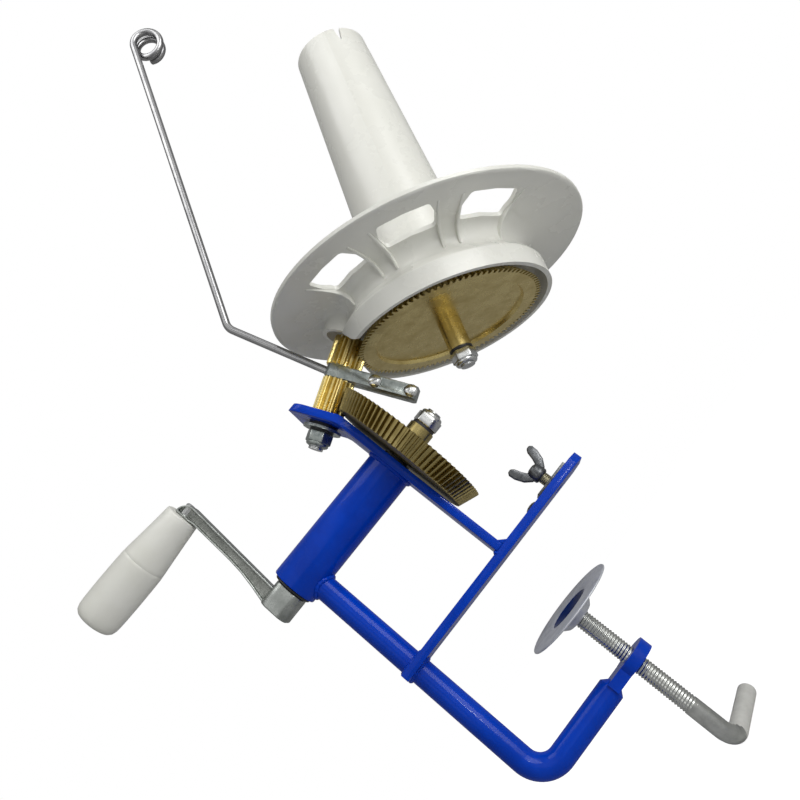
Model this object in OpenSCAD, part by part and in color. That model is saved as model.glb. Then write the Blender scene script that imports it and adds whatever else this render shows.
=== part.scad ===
// Hand cranked yarn ball winder with a table clamp.
// Z is up, Y runs along the crank shaft toward the table, X comes toward the viewer.
// The origin is on the table face of the clamp bar, below the front of the gear plate.

/* [Frame] */
// Thickness of the gear plate
plate_t = 4.5; // [3:0.5:6]
// Width of the gear plate at its foot
plate_foot_w = 26; // [20:1:32]
// Width of the gear plate at its bent tab
plate_head_w = 38; // [32:1:46]
// Corner radius of the bent tab
plate_r = 7; // [3:0.5:10]
// Length of the bent tab past the main shaft
tab_over = 16.5; // [14:0.5:20]
// Thickness of the table bar
bar_t = 4.5; // [3:0.5:6]
// Width of the table bar
bar_w = 25; // [20:1:32]
// Reach of the table bar past the gear plate
bar_front = 58.7; // [54:0.5:75]
// Cut corner at the bar's free end
bar_cut = 5; // [2:0.5:8]
// Height of the crank shaft over the table face
crank_h = 75; // [70:1:80]
// Outer diameter of the housing tube
tube_od = 25; // [22:0.5:28]
// Inner diameter of the housing tube
tube_bore_d = 18; // [14:0.5:19]
// Length of the housing tube
tube_l = 75.5; // [60:1:90]

/* [Clamp] */
// Diameter of the clamp rod
rod_d = 12.8; // [10:0.5:15]
// Distance from the plate's back to the clamp rod's axis
rod_back = 68; // [60:1:72]
// Depth of the rod's lower arm below the table face
arm_drop = 75; // [65:1:85]
// Centre line radius of the rod's bend
rod_bend_r = 13; // [11:0.5:18]
// Thickness of the forged tang
tang_t = 6; // [5:0.5:8]
// Width of the forged tang
tang_w = 15; // [13:0.5:18]
// Length of the round arm's end back from the screw
tang_l = 17; // [14:1:22]
// Outer diameter of the screw eye
eye_d = 21; // [18:0.5:25]
// Distance from the plate's back to the clamp screw, toward the rod's side when negative
screw_y = -4; // [-8:0.5:4]
// Diameter of the clamp screw
screw_d = 9; // [8:0.5:10]
// Radial clearance of the screw in its eye
screw_gap = 0.05; // [0.02:0.01:0.08]
// Lead of the clamp screw
screw_lead = 1.5; // [1:0.25:2]
// Depth of the pad's top face below the table face
pad_drop = 37.5; // [30:0.5:45]
// Depth of the screw's bent corner below the table face
handle_drop = 130; // [115:1:140]
// Length of the screw's bent handle
handle_l = 43; // [30:1:48]
// Centre line radius of the handle's bend
handle_bend_r = 8; // [7:0.5:12]
// Direction of the handle, turned from the viewer's side
handle_turn = 144; // [0:1:180]
// Diameter of the clamp pad
pad_d = 54; // [45:1:60]
// Thickness of the pad's sheet
pad_t = 1.8; // [1.2:0.1:2.5]
// Diameter of the pad's recess
pad_recess_d = 25; // [20:1:30]
// Diameter of the ball on the screw's end
ball_d = 11; // [10:0.5:12.5]

/* [Wing bolt] */
// Distance of the wing bolt from the gear plate's front
wing_y = 40; // [34:0.5:46]
// Diameter of the wing bolt's shank
wing_d = 6; // [5:0.5:7]
// Height of the wing bolt's body over the bar
wing_rise = 10; // [8:0.5:16]
// Span of the two wings
wing_span = 20; // [16:0.5:26]
// Lead of the wing bolt's thread
wing_lead = 1; // [0.75:0.25:1.5]
// Length of the guard clip
clip_l = 21; // [18:0.5:24]
// Width of the guard clip
clip_w = 12; // [10:0.5:14]
// Thickness of the guard clip
clip_t = 1.5; // [1:0.1:2]

/* [Gears] */
// Pitch diameter that each gear tooth adds
tooth_d = 1; // [0.96:0.01:1.02]
// Teeth of the drive gear
drive_n = 83; // [80:1:84]
// Teeth of the drive pinion
dpin_n = 16; // [15:1:18]
// Teeth of the fixed sun pinion
sun_n = 18; // [17:1:19]
// Teeth of the ring gear
ring_n = 100; // [98:1:100]
// Face width of the drive gear along the crank shaft
drive_face = 11; // [9:0.5:11.5]
// Face width of the ring gear along the spool shaft
ring_face = 5; // [4:0.5:6]
// Gap between the plate and the drive gear
drive_gap = 2.5; // [1.5:0.5:3]
// Diameter of the drive gear's hub
drive_hub_d = 14.5; // [13:0.5:17]
// Length of the drive gear's hub past its face
drive_hub_l = 9; // [6:0.5:12]
// Diameter of the ring gear's hub
ring_hub_d = 13; // [12:0.5:15]
// Length of the ring gear's hub below its face
ring_hub_l = 15; // [12:0.5:18]
// Thickness of both gears' webs
web_t = 2.2; // [1.6:0.1:3]
// Width of the ring gear's rim land below its teeth
rim_land = 6; // [5:0.5:8]
// Diameter of all three shafts
shaft_d = 8; // [7:0.5:8.5]

/* [Main shaft] */
// Lean of the main shaft above the crank shaft
m_tilt = 21.5; // [21:0.25:22]
// Distance along the main shaft from the drive mesh to the spool axis
apex_u = 115.9; // [115:0.1:117]
// Length of the drive pinion
dpin_l = 19.5; // [17:0.5:19.5]
// Length of the drive pinion below the drive mesh
dpin_low = 11.6; // [10:0.1:11.6]
// Height of the guide block along the main shaft
block_t = 7; // [6:0.5:7]
// Width of the guide block
block_w = 12; // [11:0.5:13]
// Length of the guide block's long arm
block_arm = 44; // [36:1:46]
// Length of the guide block's short end
block_end = 8; // [7.5:0.5:9]
// Bevel at the guide block's ends
block_cut = 2; // [1:0.5:3]
// Height of the sun pinion above the block
sun_l = 16.5; // [14:0.5:17]
// Diameter of the guide block's screws
block_screw_d = 4; // [3:0.5:5]

/* [Yarn guide] */
// Diameter of the guide wire
wire_d = 4.5; // [3:0.25:5]
// Distance of the wire's bend inside the flange's radius
wire_in_rim = 18.7; // [12:0.5:24]
// Offset of the wire's bend along the main shaft
wire_u = 20.8; // [18:0.5:24]
// Length of the wire from the bend to the eyelet
wire_l = 214; // [200:1:230]
// Lean of the wire's long leg above the crank shaft
wire_tilt = 60.2; // [56:0.2:64]
// Radius of the wire's bend
wire_bend_r = 9; // [6:0.5:12]
// Centre line radius of the pigtail eyelet
eyelet_r = 8.6; // [7:0.2:12]
// Turns of the pigtail eyelet
eyelet_turns = 1.8; // [1.5:0.05:2]

/* [Spool] */
// Lean of the spool shaft above the crank shaft
s_tilt = 60.5; // [60:0.25:61]
// Outer radius of the cup
cup_r = 59.7; // [59:0.1:61]
// Wall of the cup
cup_wall = 2.6; // [2:0.1:3]
// Height of the cup's outer band
cup_band = 10.5; // [9:0.5:11]
// Distance of the cup's lip below the shafts' crossing
lip_d = 78.9; // [78:0.1:79.5]
// Radius of the flange
flange_r = 91.5; // [84:0.5:95]
// Distance of the flange's rim below the shafts' crossing
flange_d = 46.1; // [45:0.1:48]
// Thickness of the flange and the neck
shell_t = 2.4; // [2:0.1:2.8]
// Outer radius of the neck
neck_r = 54; // [52:0.5:56]
// Outer radius of the hood over the sun pinion
hood_r = 17.5; // [17:0.5:19]
// Wall of the hood
hood_wall = 2.5; // [2:0.1:3]
// Distance of the hood's mouth from the drive mesh
hood_u = 31; // [30:0.5:33]
// Windows on each side of the flange
window_n = 3; // [1:1:3]
// Width of each window, in degrees
window_a = 25; // [15:1:27]
// Step from one window to the next, in degrees
window_step = 36; // [32:1:36]
// Direction of the middle window, in degrees from the pinion
window_mid = 86; // [80:1:90]
// Base radius of the yarn cone
cone_base_r = 29.4; // [26:0.2:32]
// Top radius of the yarn cone
cone_top_r = 22; // [18:0.2:25]
// Height of the yarn cone over the flange's rim
cone_l = 162.7; // [140:0.5:170]
// Wall of the yarn cone
cone_wall = 2.2; // [1.6:0.1:3]
// Width of the yarn slot in the cone's top
slot_w = 4; // [3:0.5:6]
// Depth of the yarn slot
slot_l = 9; // [6:0.5:14]

/* [Crank] */
// Radius of the crank from its shaft to its grip
crank_r = 72; // [60:1:74]
// Width of the crank's hub
chub_w = 16; // [14:0.5:18]
// Length of the crank's hub along its shaft
chub_l = 14; // [12:0.5:16]
// Width of the crank arm at its hub
carm_w0 = 11; // [9:0.5:12]
// Width of the crank arm at its grip
carm_w1 = 8.6; // [8:0.2:9.5]
// Thickness of the crank arm
carm_t = 8; // [7:0.5:10]
// Depth of the channels along the crank arm
carm_ch = 1.8; // [1:0.1:2.4]
// Length of the grip
grip_l = 72; // [55:1:80]
// Diameter of the grip at the arm
grip_d0 = 18; // [16:0.5:20]
// Largest diameter of the grip
grip_d1 = 24.5; // [22:0.5:28]
// Diameter of the grip's spindle
spindle_d = 6; // [5:0.5:8]

/* [Hidden] */
$fn = 48;

// Overrun of cuts past the faces they open
cut = 1;
// Running clearance of a shaft in its bush, on the radius
run_gap = 0.05;
// End float between pieces that turn against each other
float_gap = 0.3;
// Wall of the shaft bushes
bush_wall = 2;
// Flange of the shaft bushes: thickness, at the crank, and extra radius
bush_flange_t = 1.5;
rear_flange_t = 4;
bush_flange_r = 2;
// Lock nuts: width across flats, height and the round collar's height
nut_af = 13;
nut_h = 6;
nut_collar = 2;
// Black washers
washer_d = 13;
washer_t = 1.6;
// Thin wide washer below the tab
wide_washer_d = 21;
wide_washer_t = 1.4;
// Thread end past a nut
shaft_over = 1;
// Weld fillet size
weld = 3;
// Radius over the plate's bend
plate_bend_r = 9;
// Clearance under the guide block
block_gap = 0.5;
// Cone and flange clearances
cone_gap = 0.6;
// Depth of the cup's floor below the flange's rim
floor_drop = 18.5;
// Depth of the windows' cut below the rim and its height, as shares of the shell's thickness
window_low_shares = 7;
window_cut_shares = 9;
// Boss that holds the grip off the crank arm
boss_t = 1.5;
// Facets of swept wire
wire_sides = 12;

// Shares of the module: tip and root heights and half tooth at pitch, tip and root
tip_share = 0.9;
root_share = 1.3;
half_pitch_share = 0.62;
half_tip_share = 0.3;
half_root_share = 0.95;

// Pitch radii
drive_pr = tooth_d * drive_n / 2;
dpin_pr = tooth_d * dpin_n / 2;
sun_pr = tooth_d * sun_n / 2;
ring_pr = tooth_d * ring_n / 2;

// Main shaft: it crosses the drive mesh at Y = mesh_y and Z = mesh_z
mesh_y = drive_gap + drive_face / 2;
mesh_z = crank_h + drive_pr + dpin_pr / cos(m_tilt);
// Angle between the main shaft and the spool shaft
open_a = s_tilt - m_tilt;
// Ring gear's middle plane below the crossing
ring_mid = (sun_pr + ring_pr * cos(open_a)) / sin(open_a);
ring_bot = ring_mid + ring_face / 2;
ring_top = ring_mid - ring_face / 2;
// Height of the wire's bend over the block's axis
wire_v = flange_r - wire_in_rim;
// Places along the main shaft
dpin_u = -dpin_low;
block_u = dpin_u + dpin_l + block_gap;
sun_u = block_u + block_t;
tab_u = dpin_u - bush_flange_t - float_gap;
shaft_top_u = apex_u - (flange_d + 3 * shell_t + shaft_d / 2 * sin(open_a)) / cos(open_a);
tab_wash_u = tab_u - plate_t - bush_flange_t - wide_washer_t - float_gap;
tab_nut_u = tab_wash_u - washer_t;
shaft_low_u = tab_nut_u - nut_h - nut_collar - shaft_over;
// Places along the crank shaft
tube_end = -plate_t - tube_l;
chub_y = tube_end - rear_flange_t - float_gap;
dhub_end = drive_gap + drive_face + drive_hub_l;
dnut_y = dhub_end + washer_t;
crank_tip = dnut_y + nut_h + nut_collar + shaft_over;
// Places along the spool shaft, measured down from the crossing
floor_d = flange_d + floor_drop;
seat_d = floor_d + 2 * shell_t + bush_flange_t + float_gap;
cone_low = flange_d + 4 * shell_t - float_gap;
cone_hub_l = cone_base_r;
cone_seat_l = cone_hub_l - bush_wall;
shub_end = ring_bot + ring_hub_l;
snut_d = shub_end + washer_t;
spool_low = snut_d + nut_h + nut_collar + shaft_over;
// Crank arm's middle along the shaft
carm_y = chub_y - chub_l / 2;
grip_y = carm_y + 4;
spindle_y = grip_y - carm_w1 / 2 - boss_t;
// Screw axis, eye and pad
eye_r = screw_d / 2 + screw_gap;
ball_z = -pad_drop - 2 * pad_t - run_gap - ball_d / 2;

// Local Z along the main shaft, zero at the drive mesh; local Y points away from the wire
module on_main(u = 0) {
    translate([0, mesh_y, mesh_z]) rotate([m_tilt - 90, 0, 0]) translate([0, 0, u]) children();
}
// Local Z along the spool shaft, zero where it crosses the main shaft
module on_spool(d = 0) {
    on_main(apex_u) rotate([open_a, 0, 0]) translate([0, 0, -d]) children();
}
// Local Z along the crank shaft
module on_crank(y = 0) {
    translate([0, y, crank_h]) rotate([-90, 0, 0]) children();
}
// Local Z along the clamp screw
module on_screw() {
    translate([0, screw_y, 0]) children();
}
module ring_of(ro, ri, h) {
    difference() {
        cylinder(r = ro, h = h);
        translate([0, 0, -cut]) cylinder(r = ri, h = h + 2 * cut);
    }
}
// Hex lock nut with a round collar, its seat at zero
module lock_nut(bore_r) {
    difference() {
        union() {
            intersection() {
                cylinder(d = nut_af / cos(30), h = nut_h, $fn = 6);
                cylinder(r1 = nut_af / 2 + nut_h, r2 = nut_af / 2 + nut_h / 12, h = nut_h);
            }
            cylinder(d = nut_af - nut_collar / 2, h = nut_h + nut_collar);
        }
        translate([0, 0, -cut]) cylinder(r = bore_r, h = nut_h + nut_collar + 2 * cut);
    }
}
module flanged_bush(len, ri, ro) {
    difference() {
        union() {
            cylinder(r = ro, h = len);
            translate([0, 0, -bush_flange_t]) cylinder(r = ro + bush_flange_r, h = bush_flange_t);
        }
        translate([0, 0, -bush_flange_t - cut]) cylinder(r = ri, h = len + bush_flange_t + 2 * cut);
    }
}

// Outline of a pinion's teeth, tip, pitch and root points on each flank
function polar(r, a) = [r * cos(a), r * sin(a)];
function deg(len, r) = len / r * 180 / PI;
function tooth(n, i) = let(pr = tooth_d * n / 2, a = 360 / n * i,
        rt = pr + tip_share * tooth_d, rr = pr - root_share * tooth_d,
        at = deg(half_tip_share * tooth_d, rt), ap = deg(half_pitch_share * tooth_d, pr),
        ar = deg(half_root_share * tooth_d, rr))
    [polar(rr, a - ar), polar(pr, a - ap), polar(rt, a - at),
     polar(rt, a + at), polar(pr, a + ap), polar(rr, a + ar)];
function pinion_pts(n) = [for (i = [0:n - 1]) each tooth(n, i)];
module pinion(n, len, bore_r) {
    difference() {
        linear_extrude(len) polygon(pinion_pts(n));
        translate([0, 0, -cut]) cylinder(r = bore_r, h = len + 2 * cut);
    }
}
// Gap between two teeth, cut along the slope of a cone whose pitch radius is pr at z = zm;
// one gap faces local -Y, where the pinion meshes
gap_pitch_half = tooth_d * (PI / 2 - half_pitch_share);
gap_tip_half = tooth_d * (PI / 2 - half_tip_share);
gap_root_half = tooth_d * (PI / 2 - half_root_share);
module gaps(n, pr, zm, face, slope) {
    reach = face / cos(slope) + 4 * tooth_d;
    for (i = [0:n - 1]) rotate([0, 0, 360 / n * i - 90])
        translate([pr, 0, zm]) rotate([0, slope, 0]) translate([0, 0, -reach / 2])
            linear_extrude(reach) polygon([
                [-root_share * tooth_d, -gap_root_half], [0, -gap_pitch_half],
                [tip_share * tooth_d, -gap_tip_half], [tip_share * tooth_d + cut, -gap_tip_half],
                [tip_share * tooth_d + cut, gap_tip_half], [tip_share * tooth_d, gap_tip_half],
                [0, gap_pitch_half], [-root_share * tooth_d, gap_root_half]]);
}

// Flat steel plate: upright leg, bend and leaning tab
function plate_side() = let(h = mesh_z, a = m_tilt,
        fy = mesh_y + tab_u * cos(a), fz = mesh_z + tab_u * sin(a),
        kz = fz + fy / tan(a), ky = 0,
        by = fy - plate_t * cos(a), bz = fz - plate_t * sin(a), qz = bz + (by + plate_t) / tan(a),
        t = tab_over, ex = -sin(a), ez = cos(a), b = plate_bend_r * tan(a / 2))
    [[-plate_t, bar_t], [0, bar_t], [0, kz - b], [b * ex / 4, kz + b / 4 * ez - b / 4],
     [b * ex, kz + b * ez], [fy + t * ex, fz + t * ez],
     [by + t * ex, bz + t * ez], [-plate_t + b * ex, qz + b * ez], [-plate_t, qz - b]];
module plate_front() {
    top = mesh_z + tab_over;
    neck = crank_h + tube_od / 2;
    polygon([[-plate_foot_w / 2, 0], [plate_foot_w / 2, 0], [plate_foot_w / 2, crank_h - tube_od / 2],
        [plate_head_w / 2, neck], [plate_head_w / 2, top - 2 * plate_r],
        for (a = [0:15:90]) [plate_head_w / 2 - plate_r, top - 2 * plate_r] + polar(plate_r, a),
        for (a = [90:15:180]) [plate_r - plate_head_w / 2, top - 2 * plate_r] + polar(plate_r, a),
        [-plate_head_w / 2, neck], [-plate_foot_w / 2, crank_h - tube_od / 2]]);
}
module gear_plate() {
    color("royalblue") difference() {
        intersection() {
            translate([-plate_head_w / 2, 0, 0]) rotate([90, 0, 90])
                linear_extrude(plate_head_w) polygon(plate_side());
            translate([0, plate_t + tab_over, 0]) rotate([90, 0, 0])
                linear_extrude(3 * tab_over + plate_t + plate_head_w) plate_front();
        }
        on_crank(-plate_t - cut) cylinder(r = shaft_d / 2 + bush_wall, h = plate_t + 2 * cut);
        on_main(tab_u - plate_t - cut) cylinder(r = shaft_d / 2 + bush_wall, h = plate_t + 2 * cut);
    }
}
module bar_outline() {
    back = plate_t + rod_back + rod_d / 2;
    difference() {
        polygon([[-bar_w / 2, -back], [bar_w / 2, -back], [bar_w / 2, bar_front - bar_cut],
            [bar_w / 2 - bar_cut, bar_front], [bar_cut - bar_w / 2, bar_front],
            [-bar_w / 2, bar_front - bar_cut]]);
        translate([0, -plate_t - rod_back]) circle(d = rod_d);
        translate([-rod_d / 2, -back - cut]) square([rod_d, rod_d / 2 + cut]);
        translate([0, wing_y]) circle(d = wing_d + 2 * run_gap);
    }
}
module table_bar() {
    color("royalblue") union() {
        linear_extrude(bar_t) bar_outline();
        translate([-plate_foot_w / 2, 0, bar_t]) rotate([90, 0, 90])
            linear_extrude(plate_foot_w) polygon([[0, 0], [weld, 0], [0, weld]]);
    }
}
module housing_tube() {
    color("royalblue") on_crank(tube_end) ring_of(tube_od / 2, tube_bore_d / 2, tube_l);
}
// Plugs that carry the crank shaft in the tube's ends
module front_bush() {
    color("black") on_crank(0) rotate([180, 0, 0])
        flanged_bush(plate_t, shaft_d / 2 + run_gap, shaft_d / 2 + bush_wall);
}
module rear_bush() {
    color("black") on_crank(tube_end) difference() {
        union() {
            cylinder(d = tube_bore_d, h = 2 * tube_bore_d / 3);
            translate([0, 0, -rear_flange_t]) cylinder(d = (tube_bore_d + tube_od) / 2, h = rear_flange_t);
        }
        translate([0, 0, -rear_flange_t - cut])
            cylinder(r = shaft_d / 2 + run_gap, h = tube_bore_d + rear_flange_t + 2 * cut);
    }
}
// Round rod welded under the tube, bent forward and forged flat to the screw's eye
module clamp_rod() {
    rod_y = -plate_t - rod_back;
    arm_end = screw_y - tang_l;
    color("royalblue") difference() {
        union() {
            difference() {
                translate([0, rod_y, rod_bend_r - arm_drop])
                    cylinder(d = rod_d, h = arm_drop - rod_bend_r + crank_h);
                on_crank(tube_end - cut) cylinder(d = tube_od, h = tube_l + 2 * cut);
                translate([-rod_d, rod_y - rod_d, crank_h]) cube([2 * rod_d, 2 * rod_d, rod_d]);
            }
            translate([0, rod_y + rod_bend_r, rod_bend_r - arm_drop]) rotate([0, 90, 0])
                rotate([0, 0, -90]) rotate_extrude(angle = 90) translate([rod_bend_r, 0]) circle(d = rod_d);
            translate([0, rod_y + rod_bend_r, -arm_drop]) rotate([-90, 0, 0])
                cylinder(d = rod_d, h = arm_end - rod_y - rod_bend_r);
            translate([0, arm_end, -arm_drop]) rotate([-90, 0, 0])
                cylinder(d1 = rod_d, d2 = tang_t, h = (rod_d - tang_t) / 2);
            translate([-tang_w / 2, arm_end, -arm_drop - tang_t / 2]) cube([tang_w, tang_l, tang_t]);
            translate([0, screw_y, -arm_drop - tang_t / 2]) cylinder(d = eye_d, h = tang_t);
        }
        translate([0, screw_y, -arm_drop - tang_t]) cylinder(r = eye_r, h = 2 * tang_t);
    }
}
module tab_bush() {
    color("black") on_main(tab_u) difference() {
        union() {
            translate([0, 0, -plate_t]) cylinder(r = shaft_d / 2 + bush_wall, h = plate_t);
            cylinder(r = shaft_d / 2 + bush_wall + bush_flange_r, h = bush_flange_t);
            translate([0, 0, -plate_t - bush_flange_t])
                cylinder(r = shaft_d / 2 + bush_wall + bush_flange_r, h = bush_flange_t);
        }
        translate([0, 0, -plate_t - bush_flange_t - cut])
            cylinder(r = shaft_d / 2 + run_gap, h = plate_t + 2 * bush_flange_t + 2 * cut);
    }
}

// Guide block: carries the sun pinion and grips the wire
wire_lean = atan((wire_u - block_u - block_t / 2) / (wire_v - block_end));
module guide_block() {
    color("slategray") on_main(block_u) difference() {
        linear_extrude(block_t) polygon([
            [block_w / 2, -block_end + block_cut], [block_w / 2, block_arm - block_cut],
            [block_w / 2 - block_cut, block_arm], [block_cut - block_w / 2, block_arm],
            [-block_w / 2, block_arm - block_cut], [-block_w / 2, block_cut - block_end],
            [block_cut - block_w / 2, -block_end], [block_w / 2 - block_cut, -block_end]]);
        translate([0, 0, -cut]) cylinder(r = shaft_d / 2 + run_gap, h = block_t + 2 * cut);
        translate([0, -block_end, block_t / 2]) rotate([90 - wire_lean, 0, 0])
            translate([0, 0, -block_end]) cylinder(d = wire_d, h = 2 * block_end);
        for (y = block_screw_y) translate([0, y, block_t / 2]) rotate([0, 90, 0])
            cylinder(d = block_screw_d, h = block_w);
    }
}
block_screw_y = [block_arm / 2, block_arm - block_screw_d * 1.25];
module block_screws() {
    color("silver") on_main(block_u + block_t / 2) for (y = block_screw_y)
        translate([0, y, 0]) rotate([0, 90, 0]) {
            cylinder(d = block_screw_d, h = block_w / 2);
            translate([0, 0, block_w / 2]) intersection() {
                cylinder(d = 1.8 * block_screw_d, h = block_screw_d / 2);
                translate([0, 0, -block_screw_d]) sphere(d = 3 * block_screw_d);
            }
        }
}
module sun_pinion() {
    color("goldenrod") on_main(sun_u) rotate([0, 0, 90])
        pinion(sun_n, sun_l, shaft_d / 2 + run_gap);
}

// Guide wire: a swept round wire with a bend and a pigtail eyelet
function unit(v) = v / norm(v);
function on_plane(u, v) = [0, mesh_y + u * cos(m_tilt) - v * sin(m_tilt),
    mesh_z + u * sin(m_tilt) + v * cos(m_tilt)];
wire_mouth = on_plane(block_u + block_t / 2, block_end);
wire_knee = on_plane(wire_u, wire_v);
wire_dir1 = unit(wire_knee - wire_mouth);
wire_start = wire_mouth - wire_dir1 * (block_end - shaft_d / 2 - 2 * run_gap) * 0.8;
wire_dir2 = [0, cos(wire_tilt), sin(wire_tilt)];
wire_turn = acos(wire_dir1 * wire_dir2);
wire_trim = wire_bend_r * tan(wire_turn / 2);
// Bend centre lies on the inner side of the knee
wire_in = unit(wire_dir2 - wire_dir1);
wire_c = wire_knee + wire_in * wire_bend_r / cos(wire_turn / 2);
wire_arm = wire_knee - wire_dir1 * wire_trim - wire_c;
wire_a0 = atan2(wire_arm[2], wire_arm[1]);
wire_end = wire_knee + wire_dir2 * wire_l;
eye_c = wire_end + [0, sin(wire_tilt), -cos(wire_tilt)] * eyelet_r;
eye_a0 = wire_tilt + 90;
eye_turn = 360 * eyelet_turns;
eye_pitch = 1.35 * wire_d;
wire_path = concat([wire_start],
    [for (i = [0:5]) let(a = wire_a0 - wire_turn * i / 5)
        wire_c + wire_bend_r * [0, cos(a), sin(a)]],
    [wire_knee + wire_dir2 * wire_l / 3, wire_knee + wire_dir2 * wire_l * 2 / 3],
    [for (i = [0:4 * 12 * eyelet_turns / 4]) let(a = 360 * i / 12, s = a / 360,
            r = eyelet_r * (s < 1 ? 1 : 1 - (s - 1) / 4))
        eye_c + [-eye_pitch * max(0, s - 1 / 8), r * cos(eye_a0 - a), r * sin(eye_a0 - a)]]);
function tangent(p, i) = unit(p[min(i + 1, len(p) - 1)] - p[max(i - 1, 0)]);
module sweep(p, d, sides) {
    n = len(p);
    pts = [for (i = [0:n - 1]) let(t = tangent(p, i), s = unit(cross(t, [1, 0, 0])), u = cross(s, t))
        for (k = [0:sides - 1]) p[i] + d / 2 * (s * cos(360 * k / sides) + u * sin(360 * k / sides))];
    polyhedron(pts, concat([[for (k = [sides - 1:-1:0]) k]],
        [for (i = [0:n - 2], k = [0:sides - 1]) let(a = i * sides + k, b = i * sides + (k + 1) % sides)
            [b, b + sides, a + sides, a]],
        [[for (k = [0:sides - 1]) (n - 1) * sides + k]]), convexity = 10);
}
module guide_wire() {
    color("darkgray") sweep(wire_path, wire_d, wire_sides);
}
module bar_rivet() {
    color("silver") translate([0, wing_y - clip_l * 0.75, bar_t]) intersection() {
        sphere(d = 1.3 * wing_d);
        cylinder(d = 2 * wing_d, h = wing_d);
    }
}

// Crank side
module crank_shaft() {
    color("silver") on_crank(chub_y - chub_l)
        cylinder(d = shaft_d, h = crank_tip - chub_y + chub_l);
}
module crank_arm() {
    root = crank_h + chub_w / 2;
    top = crank_h + crank_r;
    color("lightsteelblue") difference() {
        union() {
            translate([-chub_w / 2, chub_y - chub_l, crank_h - chub_w / 2]) cube([chub_w, chub_l, chub_w]);
            translate([-carm_t / 2, 0, 0]) rotate([90, 0, 90]) linear_extrude(carm_t) polygon([
                [carm_y - carm_w0 / 2, root - cut], [carm_y + carm_w0 / 2, root - cut],
                [grip_y + carm_w1 / 2, top], [grip_y - carm_w1 / 2, top]]);
            translate([0, spindle_y, top]) rotate([-90, 0, 0]) cylinder(d = carm_w1, h = carm_w1 + boss_t);
            translate([-carm_t / 2, spindle_y + boss_t, top - carm_w1 / 2])
                cube([carm_t, carm_w1, carm_w1 / 2]);
        }
        for (x = [-carm_t / 2 - cut, carm_t / 2 - carm_ch]) translate([x, 0, 0])
            rotate([90, 0, 90]) linear_extrude(carm_ch + cut) polygon([
                [carm_y - carm_w0 / 4, root + carm_ch], [carm_y + carm_w0 / 4, root + carm_ch],
                [grip_y + carm_w1 / 4, top - carm_w1], [grip_y - carm_w1 / 4, top - carm_w1]]);
        on_crank(chub_y - chub_l - cut) cylinder(d = shaft_d, h = chub_l + 2 * cut);
        translate([0, spindle_y - cut, top]) rotate([-90, 0, 0])
            cylinder(d = spindle_d, h = carm_w1 + boss_t + 2 * cut);
    }
}
module drive_gear() {
    r0 = drive_pr + tip_share * tooth_d / cos(m_tilt);
    dr = drive_face / 2 * tan(m_tilt);
    rim_in = drive_pr - drive_face * tan(m_tilt) / 2 - 3.2 * tooth_d;
    color("goldenrod") on_crank(drive_gap) difference() {
        union() {
            difference() {
                cylinder(r1 = r0 - dr, r2 = r0 + dr, h = drive_face);
                gaps(drive_n, drive_pr, drive_face / 2, drive_face, m_tilt);
            }
            cylinder(d = drive_hub_d, h = drive_face + drive_hub_l);
            translate([0, 0, bush_flange_t + float_gap - drive_gap])
                cylinder(d = shaft_d + 2 * bush_wall, h = drive_gap);
        }
        difference() {
            translate([0, 0, web_t]) cylinder(r1 = rim_in, r2 = rim_in + dr, h = drive_face);
            cylinder(d = drive_hub_d, h = 2 * drive_face);
        }
        translate([0, 0, -drive_gap - cut])
            cylinder(d = shaft_d, h = drive_gap + drive_face + drive_hub_l + 2 * cut);
    }
}
module drive_washer() {
    color("black") on_crank(dhub_end) ring_of(washer_d / 2, shaft_d / 2, washer_t);
}
module drive_nut() {
    color("silver") on_crank(dnut_y) lock_nut(shaft_d / 2);
}
module grip_spindle() {
    head = spindle_d / 2;
    len = carm_w1 + boss_t + 2 * float_gap + grip_l * 0.8;
    color("silver") translate([0, spindle_y + carm_w1 + boss_t, crank_h + crank_r]) rotate([90, 0, 0]) {
        cylinder(d = spindle_d, h = len);
        translate([0, 0, len]) cylinder(d = 1.6 * spindle_d, h = head);
    }
}
// Turned grip: narrow at the arm, a step, and a fuller end
module crank_grip() {
    bore = spindle_d / 2 + run_gap;
    rest = grip_l * 0.8;
    color("whitesmoke") translate([0, spindle_y - float_gap, crank_h + crank_r]) rotate([90, 0, 0])
        rotate_extrude() polygon([
            [bore, 0], [grip_d0 / 2 - bush_wall / 2, 0], [grip_d0 / 2, bush_wall / 2],
            [grip_d0 / 2 + (grip_d1 - grip_d0) * 0.2, grip_l * 0.36],
            [grip_d1 / 2 - (grip_d1 - grip_d0) * 0.22, grip_l * 0.39], [grip_d1 / 2, grip_l * 0.62],
            [grip_d1 / 2 - (grip_d1 - grip_d0) * 0.06, grip_l * 0.8],
            [grip_d1 / 2 - (grip_d1 - grip_d0) * 0.3, grip_l * 0.96], [grip_d1 / 2 - grip_l * 0.05, grip_l],
            [1.6 * bore, grip_l], [1.6 * bore + float_gap, rest], [bore, rest]]);
}

// Carrier side, turning about the main shaft
module main_shaft() {
    color("silver") on_main(shaft_low_u) cylinder(d = shaft_d, h = shaft_top_u - shaft_low_u);
}
module drive_pinion() {
    color("goldenrod") on_main(dpin_u) rotate([0, 0, 90])
        pinion(dpin_n, dpin_l, shaft_d / 2);
}
module tab_washer() {
    color("dimgray") on_main(tab_wash_u) ring_of(wide_washer_d / 2, shaft_d / 2, wide_washer_t);
}
module tab_nut() {
    color("silver") on_main(tab_nut_u + washer_t) rotate([180, 0, 0]) union() {
        ring_of(washer_d / 2, shaft_d / 2, washer_t);
        translate([0, 0, washer_t]) lock_nut(shaft_d / 2);
    }
}
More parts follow.
